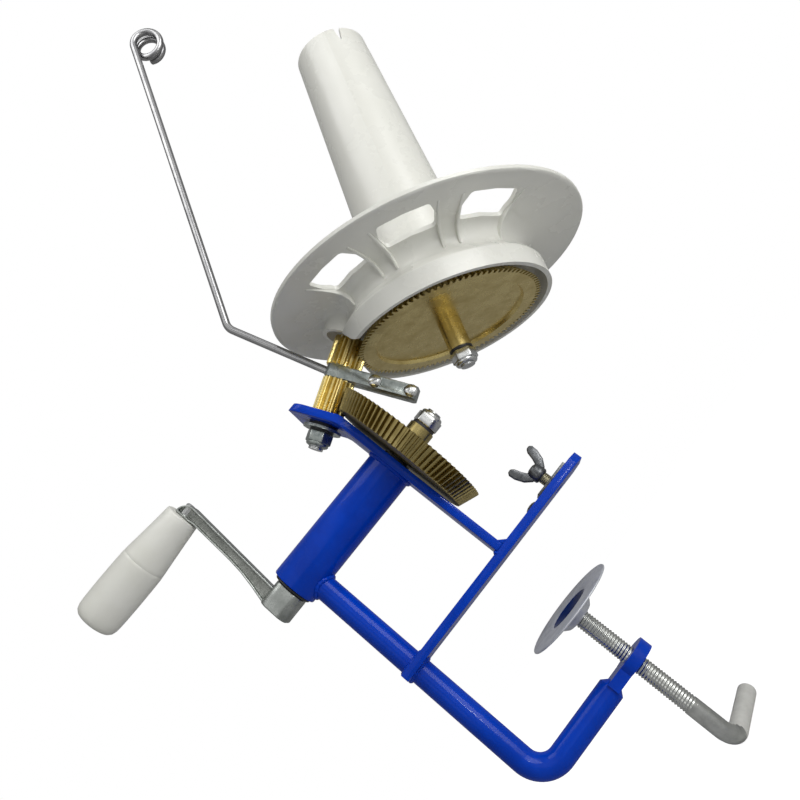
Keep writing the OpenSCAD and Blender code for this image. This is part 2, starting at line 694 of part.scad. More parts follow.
// Half section of the carrier: flange, neck, floor, cup and bearing tube, seen as [radius, height]
hub_r = shaft_d / 2 + bush_wall + 3 * run_gap + shell_t;
bush_r = shaft_d / 2 + bush_wall;
function flange_top(r) = -flange_d - shell_t * 1.1 * (flange_r - r) / (flange_r - neck_r);
module carrier_profile() {
    f = shell_t;
    polygon([
        [bush_r, -floor_d - 2 * f], [hub_r, -floor_d - 2 * f], [hub_r, -floor_d - f],
        [cup_r - cup_wall - f, -floor_d - f], [cup_r - cup_wall, -floor_d - 2 * f],
        [cup_r - cup_wall, -lip_d], [cup_r, -lip_d], [cup_r, cup_band - lip_d],
        [cup_r - f / 4, cup_band - lip_d + f / 2], [cup_r - f, cup_band - lip_d + f],
        [neck_r + f / 2, -floor_d + f / 2], [neck_r, -floor_d + f],
        [neck_r, -flange_d - 5 * f], [neck_r + f / 2, -flange_d - 3.6 * f],
        [neck_r + 1.6 * f, -flange_d - 2.6 * f], [neck_r + 4 * f, flange_top(neck_r + 4 * f) - f],
        [flange_r - f, flange_top(flange_r - f) - f], [flange_r - f / 4, flange_top(flange_r) - f],
        [flange_r, flange_top(flange_r) - 3 * f / 4], [flange_r, -flange_d], [flange_r - f, -flange_d],
        [flange_r - 1.2 * f, flange_top(flange_r - f)],
        [neck_r + 4 * f, flange_top(neck_r + 4 * f)], [neck_r + f / 2, -flange_d - 2 * f],
        [neck_r - f / 2, -flange_d - 3.4 * f], [neck_r - f, -flange_d - 5 * f],
        [neck_r - f, -floor_d], [hub_r, -floor_d], [hub_r, -flange_d - 4 * f], [bush_r, -flange_d - 4 * f]]);
}
module spool_carrier() {
    f = shell_t;
    r_in = hood_r - hood_wall;
    color("whitesmoke") difference() {
        union() {
            on_spool() rotate_extrude($fn = 96) carrier_profile();
            // Hood and boss over the main shaft, trimmed under the flange
            intersection() {
                on_main(hood_u) cylinder(r = hood_r, h = shaft_top_u - hood_u + f);
                on_spool() rotate_extrude() polygon([[hub_r - cut / 2, -floor_d - f],
                    [cup_r + 2 * hood_r, -floor_d - f],
                    [cup_r + 2 * hood_r, flange_top(cup_r + 2 * hood_r) - f / 2],
                    [neck_r + 4 * f, flange_top(neck_r + 4 * f) - f / 2], [neck_r, -flange_d - 2 * f],
                    [cone_base_r + 3 * f, -flange_d - 2 * f], [cone_base_r + 2 * f, -flange_d - 5 * f],
                    [hub_r - cut / 2, -flange_d - 6 * f]]);
            }
        }
        // Room for the sun pinion, open through the cup's near side
        on_main(sun_u - sun_l) cylinder(r = r_in, h = hood_u + hood_wall + 1.2 * f - sun_u + sun_l);
        on_main(hood_u) cylinder(d = shaft_d, h = shaft_top_u - hood_u);
        // Windows in the flange between its spokes
        on_spool() for (s = [-1, 1], i = [0:window_n - 1])
            rotate([0, 0, -90 + s * (window_mid + window_step * (i - (window_n - 1) / 2))])
                translate([0, 0, -flange_d - window_low_shares * f])
                    linear_extrude(window_cut_shares * f) window_shape();
    }
}
window_r0_share = 0.66;
window_r1_share = 0.86;
module window_shape() {
    a = window_a / 2;
    r0 = flange_r * window_r0_share;
    r1 = flange_r * window_r1_share;
    polygon([polar(r0, -a), polar((r0 + r1) / 2, -a), polar(r1, -a * 0.8), polar(r1, 0), polar(r1, a * 0.8),
        polar((r0 + r1) / 2, a), polar(r0, a), polar(r0, 0)]);
}
module carrier_bush() {
    len = floor_d + 2 * shell_t - flange_d - 4 * shell_t;
    color("black") on_spool(floor_d + 2 * shell_t) flanged_bush(len, shaft_d / 2 + run_gap, bush_r);
}

// Spool side, turning about the spool shaft
module yarn_cone() {
    low = cone_low;
    slope = (cone_base_r - cone_top_r) / cone_l;
    rlow = cone_base_r + slope * (low - flange_d);
    color("whitesmoke") on_spool(low) difference() {
        union() {
            difference() {
                cylinder(r1 = rlow, r2 = cone_top_r, h = cone_l + low - flange_d, $fn = 96);
                translate([0, 0, 2 * cone_wall]) cylinder(r1 = rlow - cone_wall, r2 = cone_top_r - cone_wall,
                    h = cone_l + low - flange_d - 2 * cone_wall, $fn = 96);
                translate([0, 0, cone_l + low - flange_d - cut])
                    cylinder(r = cone_top_r - cone_wall, h = 2 * cut);
            }
            cylinder(r = shaft_d / 2 + 2 * bush_wall, h = cone_hub_l);
        }
        translate([0, 0, -cut]) cylinder(d = shaft_d, h = cone_seat_l + cut);
        rotate([0, 0, 20]) translate([0, 0, cone_l + low - flange_d]) rotate([90, 0, 90])
            linear_extrude(2 * cone_top_r) polygon([
                [-slot_w / 2, cut], [-slot_w / 2, 0], [-slot_w / 8, -slot_l],
                [slot_w / 8, -slot_l], [slot_w / 2, 0], [slot_w / 2, cut]]);
    }
}
module ring_gear() {
    r0 = ring_pr + tip_share * tooth_d / cos(open_a);
    dr = ring_face / 2 * tan(open_a);
    rin = ring_pr - dr - root_share * tooth_d - rim_land / 2;
    color("goldenrod") on_spool(ring_bot) difference() {
        union() {
            difference() {
                cylinder(r1 = r0 + dr, r2 = r0 - dr, h = ring_face);
                gaps(ring_n, ring_pr, ring_face / 2, ring_face, -open_a);
            }
            translate([0, 0, -ring_hub_l]) cylinder(d = ring_hub_d, h = ring_hub_l + ring_bot - seat_d);
        }
        difference() {
            translate([0, 0, -cut])
                cylinder(r1 = rin, r2 = rin - rim_land / 4, h = ring_face - web_t - rim_land / 6 + cut);
            translate([0, 0, -2 * cut]) cylinder(d = ring_hub_d, h = ring_face + 2 * cut);
        }
        translate([0, 0, -ring_hub_l - cut])
            cylinder(d = shaft_d, h = ring_hub_l + ring_bot - seat_d + 2 * cut);
    }
}
module spool_shaft() {
    color("silver") on_spool(spool_low) cylinder(d = shaft_d, h = spool_low - cone_low + cone_seat_l);
}
module spool_washer() {
    color("black") on_spool(snut_d) ring_of(washer_d / 2, shaft_d / 2, washer_t);
}
module spool_nut() {
    color("silver") on_spool(snut_d) rotate([180, 0, 0]) lock_nut(shaft_d / 2);
}

// Clamp pad: thin disc, sunk middle and a crimped hub around the screw's ball
module clamp_pad() {
    r = pad_d / 2;
    rr = pad_recess_d / 2;
    t = pad_t;
    hub = ball_d / 2 + 1.2 * t;
    br = ball_d / 2 + run_gap;
    color("lightsteelblue") on_screw() difference() {
        translate([0, 0, -pad_drop]) rotate_extrude() polygon([[0, -t], [rr - t, -t], [rr, 0], [r, 0],
            [r, -t], [rr + t / 2, -t], [hub + t, -2 * t], [hub, -t - ball_d * 0.75],
            [screw_d / 2 + t / 2, -t - ball_d * 0.85], [0, -t - ball_d * 0.85]]);
        translate([0, 0, ball_z]) sphere(r = br);
        translate([0, 0, ball_z - ball_d]) cylinder(r = screw_d / 2 + t / 4, h = ball_d);
    }
}
module clamp_screw() {
    corner = -handle_drop + handle_bend_r;
    color("silver") on_screw() rotate([0, 0, handle_turn]) union() {
        translate([0, 0, ball_z]) sphere(d = ball_d);
        translate([0, 0, corner]) cylinder(d = screw_d, h = ball_z - corner);
        translate([handle_bend_r, 0, corner]) {
            rotate([90, 0, 0]) rotate([0, 0, 180]) rotate_extrude(angle = 90)
                translate([handle_bend_r, 0]) circle(d = screw_d);
            translate([0, 0, -handle_bend_r]) rotate([0, 90, 0])
                cylinder(d = screw_d, h = handle_l - handle_bend_r);
        }
    }
}
module clip_plate() {
    color("silver") translate([0, wing_y, bar_t + float_gap]) difference() {
        translate([-clip_w / 2, -clip_l * 0.45, 0]) cube([clip_w, clip_l, clip_t]);
        translate([0, 0, -cut]) cylinder(r = wing_d / 2 + run_gap, h = clip_t + 2 * cut);
    }
}
module wing_bolt() {
    seat = bar_t + float_gap + clip_t + float_gap;
    h = wing_d;
    color("silver") translate([0, wing_y, 0]) {
        cylinder(d = wing_d, h = seat + cut);
        translate([0, 0, seat]) cylinder(d1 = 1.9 * wing_d, d2 = 1.5 * wing_d, h = wing_rise);
        for (s = [0, 180]) rotate([0, 0, 90 + s]) hull() {
            translate([wing_d / 2, 0, seat + wing_rise - h / 2]) rotate([90, 0, 0])
                cylinder(d = h, h = h / 3, center = true, $fn = 24);
            translate([wing_span / 2 - h / 2, 0, seat + wing_rise + h]) rotate([90, 0, 0])
                cylinder(d = h, h = h / 3, center = true, $fn = 24);
        }
    }
}

gear_plate();
table_bar();
housing_tube();
front_bush();
rear_bush();
clamp_rod();
tab_bush();
guide_block();
block_screws();
sun_pinion();
guide_wire();
bar_rivet();
crank_shaft();
crank_arm();
drive_gear();
drive_washer();
drive_nut();
grip_spindle();
crank_grip();
main_shaft();
drive_pinion();
tab_washer();
tab_nut();
spool_carrier();
carrier_bush();
yarn_cone();
ring_gear();
spool_shaft();
spool_washer();
spool_nut();
clamp_pad();
clamp_screw();
clip_plate();
wing_bolt();
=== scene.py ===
import bpy, bmesh
from math import cos, sin, pi, radians, sqrt, atan2
from mathutils import Matrix, Vector


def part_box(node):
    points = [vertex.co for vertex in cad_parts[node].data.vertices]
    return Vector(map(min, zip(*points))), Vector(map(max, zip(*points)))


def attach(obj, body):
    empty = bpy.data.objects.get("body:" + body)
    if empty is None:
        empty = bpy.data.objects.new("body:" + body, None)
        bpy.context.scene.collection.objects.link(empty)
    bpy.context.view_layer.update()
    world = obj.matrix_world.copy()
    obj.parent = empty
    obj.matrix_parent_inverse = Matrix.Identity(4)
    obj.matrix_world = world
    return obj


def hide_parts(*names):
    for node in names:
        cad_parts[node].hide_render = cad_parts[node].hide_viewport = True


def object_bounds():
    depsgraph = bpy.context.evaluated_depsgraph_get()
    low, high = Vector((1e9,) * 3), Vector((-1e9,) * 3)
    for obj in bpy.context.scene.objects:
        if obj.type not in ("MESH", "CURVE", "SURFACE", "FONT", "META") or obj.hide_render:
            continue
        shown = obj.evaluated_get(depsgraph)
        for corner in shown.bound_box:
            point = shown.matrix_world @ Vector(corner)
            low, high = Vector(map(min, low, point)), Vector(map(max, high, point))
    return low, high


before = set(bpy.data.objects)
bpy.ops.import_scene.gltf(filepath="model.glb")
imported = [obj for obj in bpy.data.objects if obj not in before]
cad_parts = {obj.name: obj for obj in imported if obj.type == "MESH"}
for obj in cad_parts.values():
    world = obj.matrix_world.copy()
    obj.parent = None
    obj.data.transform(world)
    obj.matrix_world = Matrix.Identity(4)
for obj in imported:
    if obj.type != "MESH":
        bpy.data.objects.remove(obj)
cad_box = [[float(c) for c in corner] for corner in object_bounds()]

# Camera: where the photograph was taken, a little below the crank and close to the winder, with a normal
# lens. The picture is rolled, so that the table bar climbs to the right.
camera_at = Vector((0.4081, -0.0271, -0.0260))
right = Vector((-0.1419, 0.6276, -0.7655))
up = Vector((0.2737, 0.768, 0.579))
back = Vector((0.9513, -0.1273, -0.2808))
lens = bpy.data.cameras.new("photo_camera")
lens.lens, lens.sensor_width, lens.clip_start = 36.0, 36.0, 0.01
camera = bpy.data.objects.new("photo_camera", lens)
camera.matrix_world = Matrix.Translation(camera_at) @ Matrix((right, up, back)).transposed().to_4x4()
bpy.context.scene.collection.objects.link(camera)
bpy.context.scene.camera = camera
bpy.context.scene.view_settings.view_transform = "Standard"

# Studio: three soft boxes, set out from the camera's own right, top and back, in front of a white sweep.
# The white comes from the rays that look at it, and not from more light on the winder. Glossy rays see the
# sweep in bright and dark strips, as flags hung between the boxes would show in metal and enamel.
middle = Vector((0, 0.03, 0.13))


def made(tree, kind, inputs, **settings):
    """A shader node with its settings. Its inputs take plain values and the outputs of other nodes alike."""
    node = tree.nodes.new("ShaderNode" + kind)
    for name, value in settings.items():
        setattr(node, name, value)
    for key, value in inputs.items():
        if isinstance(value, bpy.types.NodeSocket):
            tree.links.new(value, node.inputs[key])
        else:
            node.inputs[key].default_value = value
    return node


def maths(tree, operation, *terms):
    """What a Math node makes of its terms."""
    return made(tree, "Math", dict(enumerate(terms)), operation=operation).outputs[0]


def ranged(tree, value, start, to, course="LINEAR"):
    """A value carried over from one range to another."""
    ends = {"From Min": start[0], "From Max": start[1], "To Min": to[0], "To Max": to[1]}
    return made(tree, "MapRange", {"Value": value, **ends}, interpolation_type=course).outputs["Result"]


def soft_box(name, across, high, near, size, power):
    """A square lamp that faces the winder."""
    data = bpy.data.lights.new(name, "AREA")
    data.shape, data.size, data.energy = "SQUARE", size, power
    box = bpy.data.objects.new(name, data)
    spot = middle + right * across + up * high + back * near
    aim = (spot - middle).to_track_quat("Z", "Y").to_matrix().to_4x4()
    box.matrix_world = Matrix.Translation(spot) @ aim
    bpy.context.scene.collection.objects.link(box)


soft_box("key_box", 0.28, 0.66, 0.6, 0.6, 4.7)
soft_box("top_box", -0.5, 0.55, 0.15, 0.5, 1.7)
soft_box("glint_box", 0.2, 0.3, 0.7, 0.05, 0.3)

world = bpy.data.worlds.new("white_sweep")
bpy.context.scene.world = world
world.use_nodes = True
tree = world.node_tree
sky = tree.nodes["Background"].inputs
rays = made(tree, "LightPath", {}).outputs
gaze = made(tree, "TexCoord", {}).outputs["Generated"]
bright_side = up * 0.4 + right * 0.1 + back * 0.85
strip_pace = (right * 0.75 + up * 0.65) * 11
facing = made(tree, "VectorMath", {0: gaze, 1: bright_side}, operation="DOT_PRODUCT").outputs["Value"]
across = made(tree, "VectorMath", {0: gaze, 1: strip_pace}, operation="DOT_PRODUCT").outputs["Value"]
sweep = ranged(tree, facing, (-0.3, 0.75), (0.03, 1.1), course="SMOOTHSTEP")
flags = ranged(tree, maths(tree, "SINE", across), (-0.7, 0.7), (0.22, 1.15))
mirrored = maths(tree, "MAXIMUM", rays["Is Glossy Ray"], rays["Is Transmission Ray"])
dimmed = maths(tree, "MULTIPLY", mirrored, maths(tree, "MULTIPLY", sweep, flags))
seen = maths(tree, "MAXIMUM", rays["Is Camera Ray"], dimmed)
fill_light = 0.27
sky["Color"].default_value = (1, 1, 1, 1)
tree.links.new(ranged(tree, seen, (0, 1), (fill_light, 1.0)), sky["Strength"])

floor_mesh = bpy.data.meshes.new("white_floor")
bm = bmesh.new()
bmesh.ops.create_grid(bm, x_segments=1, y_segments=1, size=3.0,
                      matrix=Matrix.Translation((0, 0, cad_box[0][2] - 0.001)))
bm.to_mesh(floor_mesh)
bm.free()
floor = bpy.data.objects.new("white_floor", floor_mesh)
bpy.context.scene.collection.objects.link(floor)
paper = bpy.data.materials.new("white_paper")
paper.use_nodes = True
tree = paper.node_tree
sheet = tree.nodes["Principled BSDF"].inputs
sheet["Base Color"].default_value = (0.7, 0.7, 0.7, 1)
sheet["Roughness"].default_value = 0.9
sheet["Emission Color"].default_value = (1, 1, 1, 1)
camera_ray = made(tree, "LightPath", {}).outputs["Is Camera Ray"]
tree.links.new(maths(tree, "MULTIPLY", camera_ray, 0.85), sheet["Emission Strength"])
floor_mesh.materials.append(paper)


# Painted frame: flat steel, sawn and bent, welded to a tube and a round rod, and sprayed with thick blue
# enamel that rounds its edges. Its skin is made as every skin of the winder is: two tones in patches over
# a fine relief, with rings about an axis where a piece is turned or threaded.
def blend(tree, factor, first, second, kind):
    """First at factor 0, second at factor 1: kind is RGBA for colours and FLOAT for numbers."""
    slot, out = {"RGBA": (6, 2), "FLOAT": (2, 0)}[kind]
    return made(tree, "Mix", {"Factor": factor, slot: first, slot + 1: second}, data_type=kind).outputs[out]


def group_of(name, inputs, outputs):
    """An empty node group, with its given sockets and its result sockets."""
    group = bpy.data.node_groups.new(name, "ShaderNodeTree")
    for way, sockets in (("INPUT", inputs), ("OUTPUT", outputs)):
        for label, kind in sockets.items():
            group.interface.new_socket(label, in_out=way, socket_type="NodeSocket" + kind)
    return group, group.nodes.new("NodeGroupInput").outputs, group.nodes.new("NodeGroupOutput").inputs


def worn_patches():
    """Cleaner and duller patches, a few millimetres wide, as handling leaves them."""
    group, given, result = group_of(
        "worn_patches",
        {"Vector": "Vector", "Clean": "Color", "Worn": "Color", "Smooth": "Float", "Dull": "Float",
         "Scale": "Float"},
        {"Color": "Color", "Roughness": "Float"})
    cloud = made(group, "TexNoise", {"Vector": given["Vector"], "Scale": given["Scale"], "Detail": 5.0,
                                     "Roughness": 0.6})
    spread = ranged(group, cloud.outputs["Fac"], (0.38, 0.72), (0, 1))
    group.links.new(blend(group, spread, given["Clean"], given["Worn"], "RGBA"), result["Color"])
    group.links.new(blend(group, spread, given["Smooth"], given["Dull"], "FLOAT"), result["Roughness"])
    return group


def fine_relief():
    """Height of a skin that is never quite smooth: a coarse swell with a finer grain on it."""
    group, given, result = group_of("fine_relief", {"Vector": "Vector", "Scale": "Float", "Grain": "Float"},
                                    {"Height": "Float"})
    finer = maths(group, "MULTIPLY", given["Scale"], 6.0)
    swell = made(group, "TexNoise", {"Vector": given["Vector"], "Scale": given["Scale"], "Detail": 2.0})
    grain = made(group, "TexNoise", {"Vector": given["Vector"], "Scale": finer, "Detail": 4.0})
    share = maths(group, "MULTIPLY", grain.outputs["Fac"], given["Grain"])
    group.links.new(maths(group, "ADD", swell.outputs["Fac"], share), result["Height"])
    return group


def turned_marks():
    """Height of the rings that a lathe tool or a thread leaves: around the axis, or along it."""
    group, given, result = group_of(
        "turned_marks", {"Vector": "Vector", "Across": "Float", "Along": "Float", "Waver": "Float"},
        {"Height": "Float"})
    flat = made(group, "VectorMath", {0: given["Vector"], 1: (1, 1, 0)}, operation="MULTIPLY")
    far = made(group, "VectorMath", {0: flat.outputs[0]}, operation="LENGTH")
    high = made(group, "SeparateXYZ", {0: given["Vector"]}).outputs["Z"]
    radial = maths(group, "MULTIPLY", far.outputs["Value"], given["Across"])
    place = maths(group, "ADD", radial, maths(group, "MULTIPLY", high, given["Along"]))
    wobble = made(group, "TexNoise", {"W": place, "Scale": 1.0, "Detail": 3.0}, noise_dimensions="1D")
    noise = maths(group, "MULTIPLY", wobble.outputs["Fac"], given["Waver"])
    group.links.new(maths(group, "ADD", maths(group, "SINE", place), noise), result["Height"])
    return group


patches, relief, marks = worn_patches(), fine_relief(), turned_marks()


def surface(name, clean, worn, smooth, dull, metal=0.0, coat=0.0, gloss=0.5, patch=90.0, swell=400.0,
            grain=0.4, depth=2e-5, rings=None, axis=None):
    """A material. Clean and worn are its two tones, and smooth and dull their roughness. Patch and swell
    are noise scales, grain is the share of the finer noise, and depth is the relief's height. Rings are
    (across, along, waver, depth), about the Z of the matrix that is their axis."""
    skin = bpy.data.materials.new(name)
    skin.use_nodes = True
    tree = skin.node_tree
    shader = tree.nodes["Principled BSDF"].inputs
    shader["Metallic"].default_value = metal
    shader["Coat Weight"].default_value = coat
    shader["Coat Roughness"].default_value = 0.08
    shader["Specular IOR Level"].default_value = gloss
    spot = made(tree, "TexCoord", {}).outputs["Object"]
    tones = made(tree, "Group", {"Vector": spot, "Clean": (*clean, 1), "Worn": (*worn, 1), "Smooth": smooth,
                                 "Dull": dull, "Scale": patch}, node_tree=patches)
    tree.links.new(tones.outputs["Color"], shader["Base Color"])
    tree.links.new(tones.outputs["Roughness"], shader["Roughness"])
    height = made(tree, "Group", {"Vector": spot, "Scale": swell, "Grain": grain}, node_tree=relief)
    bump = made(tree, "Bump", {"Height": height.outputs["Height"], "Strength": 1.0, "Distance": depth})
    if rings:
        across, along, waver, ring_depth = rings
        centre = made(tree, "Mapping", {"Vector": spot, "Location": axis.to_translation(),
                                        "Rotation": axis.to_euler("XYZ")}, vector_type="TEXTURE")
        height = made(tree, "Group", {"Vector": centre.outputs[0], "Across": across, "Along": along,
                                      "Waver": waver}, node_tree=marks)
        bump = made(tree, "Bump", {"Height": height.outputs["Height"], "Normal": bump.outputs["Normal"],
                                   "Strength": 1.0, "Distance": ring_depth})
    tree.links.new(bump.outputs["Normal"], shader["Normal"])
    return skin


def dress(skin, *names):
    """Nodes that keep their own shape get a skin."""
    for name in names:
        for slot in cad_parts[name].material_slots:
            slot.material = skin


def sharp(bm, degrees):
    """The edges at which a mesh turns by more than an angle."""
    return [e for e in bm.edges if e.calc_face_angle(0) > radians(degrees)]


def rounded(bm, edges, width, rounds, clamp=False):
    """Edges rounded over by a bevel of so many steps."""
    bmesh.ops.bevel(bm, geom=edges, offset=width, offset_type="OFFSET", segments=rounds, profile=0.5,
                    affect="EDGES", clamp_overlap=clamp, material=-1)


def hand_over(bm, name, body, skin, crease=35):
    """The finished mesh becomes a piece of the winder, smooth but for its real edges."""
    mesh = bpy.data.meshes.new(name)
    bm.to_mesh(mesh)
    bm.free()
    for face in mesh.polygons:
        face.use_smooth = True
    mesh.set_sharp_from_angle(angle=radians(crease))
    mesh.materials.append(skin)
    piece = bpy.data.objects.new(name, mesh)
    bpy.context.scene.collection.objects.link(piece)
    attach(piece, body)
    return piece


def eased(node, body, skin, width):
    """A node of the frame with its sharp edges rounded over."""
    bm = bmesh.new()
    bm.from_mesh(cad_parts[node].data)
    bmesh.ops.remove_doubles(bm, verts=bm.verts, dist=2e-6)
    bmesh.ops.dissolve_limit(bm, angle_limit=radians(0.5), verts=bm.verts, edges=bm.edges)
    rounded(bm, sharp(bm, 28), width, 2, clamp=True)
    piece = hand_over(bm, node + "_eased", body, skin)
    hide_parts(node)


enamel = surface("blue_enamel", (0.0004, 0.05, 0.52), (0.0005, 0.038, 0.42), 0.22, 0.3, coat=0.16,
                 gloss=0.08, patch=60, swell=300, grain=0.1, depth=2.6e-5)
eased("gear_plate", "frame", enamel, 0.0006)
eased("table_bar", "frame", enamel, 0.0006)
dress(enamel, "clamp_rod")

# Welds: low beads of filler metal, laid by hand where the tube meets the plate and where the rod meets the
# tube and the bar, with small even ripples, and painted over with the frame. Heights are over the table
# face, and lengths are in metres.
crank_at, tube_r = Vector((0, 0, 0.075)), 0.0125
rod_r, rod_y, bar_top = 0.0064, -0.0725, 0.0045


def corners_in(geom):
    """The corners among what an operator has made."""
    return [g for g in geom if isinstance(g, bmesh.types.BMVert)]


def pulled(bm, rim):
    """A new ring pulled out of a rim: its corners, and its edges as the next rim."""
    new = bmesh.ops.extrude_edge_only(bm, edges=rim)["geom"]
    ring = corners_in(new)
    return ring, [g for g in new if isinstance(g, bmesh.types.BMEdge) and all(v in ring for v in g.verts)]


def drawn(path, radius, sides=24, closed=False, swell=None, end_rise=0.3, end_share=0.7):
    """Round stock led along a route: a ring is pushed on from point to point and turned with it. The swell
    is a function of the point's number, and an open route ends in a low dome."""
    bm = bmesh.new()
    path = [Vector(p) for p in path]
    if closed:
        path += path[:2]
    way = [(b - a).normalized() for a, b in zip(path, path[1:])]
    heading = (way[0] + way[-1]).normalized() if closed else way[0]
    start = Matrix.Translation(path[0]) @ heading.to_track_quat("Z", "Y").to_matrix().to_4x4()
    bmesh.ops.create_circle(bm, cap_ends=not closed, segments=sides, radius=radius, matrix=start)
    rim = bm.edges[:]
    stop = len(path) - 1 if closed else len(path)
    for i in range(1, stop):
        ring, rim = pulled(bm, rim)
        turn = (way[i - 1] + way[min(i, len(way) - 1)]).normalized()
        bmesh.ops.translate(bm, vec=path[i] - path[i - 1], verts=ring)
        bmesh.ops.rotate(bm, cent=path[i], matrix=heading.rotation_difference(turn).to_matrix(), verts=ring)
        if swell:
            share = swell(i) / swell(i - 1)
            bmesh.ops.scale(bm, vec=(share, share, share), space=Matrix.Translation(-path[i]), verts=ring)
        heading = turn
    if not closed:
        ring, rim = pulled(bm, rim)
        rise, share = heading * radius * end_rise, end_share
        to_tip = Matrix.Translation(-path[-1] - rise)
        bmesh.ops.translate(bm, vec=rise, verts=ring)
        bmesh.ops.scale(bm, vec=(share, share, share), space=to_tip, verts=ring)
        bmesh.ops.edgeloop_fill(bm, edges=rim)
    bmesh.ops.remove_doubles(bm, verts=bm.verts, dist=2e-6)
    bmesh.ops.recalc_face_normals(bm, faces=bm.faces)
    return bm


def ripples(i):
    """How thick a bead is at its point number i, as a share of its radius."""
    return 1 + 0.16 * sin(i * 2.1) + 0.07 * sin(i * 5.3)


def weld(name, path, radius):
    """A painted bead along a closed route."""
    bead = drawn(path, radius, sides=10, closed=True, swell=ripples)
    hand_over(bead, name, "frame", enamel, crease=80)


def ring_of(radius):
    """Sixty points round a circle."""
    return [(radius * cos(2 * pi * k / 60), radius * sin(2 * pi * k / 60)) for k in range(60)]


weld("tube_weld", [(x, -0.0048, crank_at.z + z) for x, z in ring_of(tube_r - 0.0001)], 0.0013)
weld("rod_top_weld", [(x, rod_y + y, crank_at.z - 0.0001 - sqrt(tube_r ** 2 - x ** 2))
                      for x, y in ring_of(rod_r + 0.0001)], 0.0012)
weld("rod_low_weld", [(x, rod_y + y, 0.0001) for x, y in ring_of(rod_r + 0.0002)], 0.0012)
weld("rod_bar_weld", [(x, rod_y + y, bar_top) for x, y in ring_of(rod_r + 0.0002)], 0.0013)
foot_half, foot_steps = 0.012, 30
along_foot = [foot_half * (2 * k / foot_steps - 1) for k in range(foot_steps)]
weld("foot_weld", [(x, -0.0047, 0.0046) for x in along_foot] + [(-x, -0.0053, 0.0044) for x in along_foot],
     0.0012)

# Housing tube: seamless steel tube round the crank's shaft, which runs along Y. The paint rounds its sawn
# end, and the bush is sunk in it, so that only a thin black collar shows next to the crank's hub.
crank_way, tube_bore = Vector((0, 1, 0)), 0.009


def stand(at, way, along=0.0):
    """The place of a piece whose own Z lies on a shaft."""
    side = Vector((1, 0, 0))
    return Matrix.Translation(at + way * along) @ Matrix((side, way.cross(side), way)).transposed().to_4x4()


def traced(bm, outline, closed):
    """A half outline, as (radius, height), ready to be spun about Z."""
    corners = [bm.verts.new((r, 0, z)) for r, z in outline]
    lines = [bm.edges.new(pair) for pair in zip(corners, corners[1:])]
    if closed:
        lines.append(bm.edges.new((corners[-1], corners[0])))
    return corners + lines


def turned(outline, place=Matrix.Identity(4), steps=96, closed=True):
    """A turned or moulded round: its half outline, spun about its own Z and put in its place."""
    bm = bmesh.new()
    bmesh.ops.spin(bm, geom=traced(bm, outline, closed), cent=(0, 0, 0), axis=(0, 0, 1), angle=2 * pi,
                   steps=steps, use_merge=True)
    bmesh.ops.remove_doubles(bm, verts=bm.verts, dist=1e-6)
    bmesh.ops.recalc_face_normals(bm, faces=bm.faces)
    bm.transform(place)
    return bm


on_crank = stand(crank_at, crank_way)
tube = hand_over(turned([(tube_bore, -0.0045), (tube_r, -0.0045), (tube_r, -0.0818), (0.0122, -0.0824),
                         (0.0116, -0.0826), (0.0096, -0.0826), (0.0091, -0.0823), (tube_bore, -0.0817)],
                        on_crank), "painted_tube", "frame", enamel)
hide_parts("housing_tube")

# Black bushes and washers: moulded nylon, slightly greasy, one bush in each end of the tube, one in the tab
# and one in the carrier, and a washer under each lock nut.
nylon = surface("black_nylon", (0.018, 0.018, 0.02), (0.035, 0.035, 0.037), 0.34, 0.55, patch=200,
                swell=1500, grain=0.6, depth=1.5e-5)
dress(nylon, "front_bush", "tab_bush", "carrier_bush", "drive_washer", "spool_washer")
collar = hand_over(turned([(0.00405, -0.0700), (0.0089, -0.0700), (0.0089, -0.0822), (0.0104, -0.0827),
                           (0.0107, -0.083), (0.0107, -0.0836), (0.0103, -0.084), (0.00405, -0.084)],
                          on_crank), "rear_collar", "frame", nylon)
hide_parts("rear_bush")

# Guide block: a short square bar with bevelled ends, zinc plated dull, that stands still on the main shaft
# and carries the fixed pinion and the wire. Two slotted screws in its side hold it. The main shaft stands
# aslant over the crank's, in the plane X = 0.
main_at, main_way = Vector((0, 0.008, 0.125098)), Vector((0, 0.930418, 0.366501))
on_main = stand(main_at, main_way)
block_zinc = surface("dull_zinc", (0.4, 0.43, 0.41), (0.2, 0.23, 0.22), 0.26, 0.44, metal=1.0, patch=420,
                     swell=900, grain=0.8, depth=3e-5)
bright_zinc = surface("bright_zinc", (0.7, 0.71, 0.7), (0.52, 0.53, 0.52), 0.18, 0.3, metal=1.0, patch=240,
                      swell=1200, grain=0.7, depth=8e-6)
eased("guide_block", "frame", block_zinc, 0.0004)
slot_half, slot_depth, head_foot = 0.00035, 0.0009, 0.0004


def slotted_head(place):
    """A domed screw head with a short shank, and a slot sawn across it along Y."""
    bm = turned([(0, -0.0055), (0.0019, -0.0055), (0.0019, 0), (0.0034, 0), (0.0036, 0.0003),
                 (0.0035, 0.0009), (0.0028, 0.0016), (0.0015, 0.002), (0, 0.0021)], steps=32, closed=False)
    for cut in (-slot_half, slot_half):
        bmesh.ops.bisect_plane(bm, geom=bm.verts[:] + bm.edges[:] + bm.faces[:], plane_co=(cut, 0, 0),
                               plane_no=(1, 0, 0))
    middles = {face: face.calc_center_median() for face in bm.faces}
    slot = [face for face, at in middles.items() if abs(at.x) < slot_half and at.z > head_foot]
    sunk = bmesh.ops.extrude_face_region(bm, geom=slot)["geom"]
    bmesh.ops.translate(bm, vec=(0, 0, -slot_depth), verts=corners_in(sunk))
    bmesh.ops.delete(bm, geom=slot, context="FACES")
    bm.transform(place)
    return bm


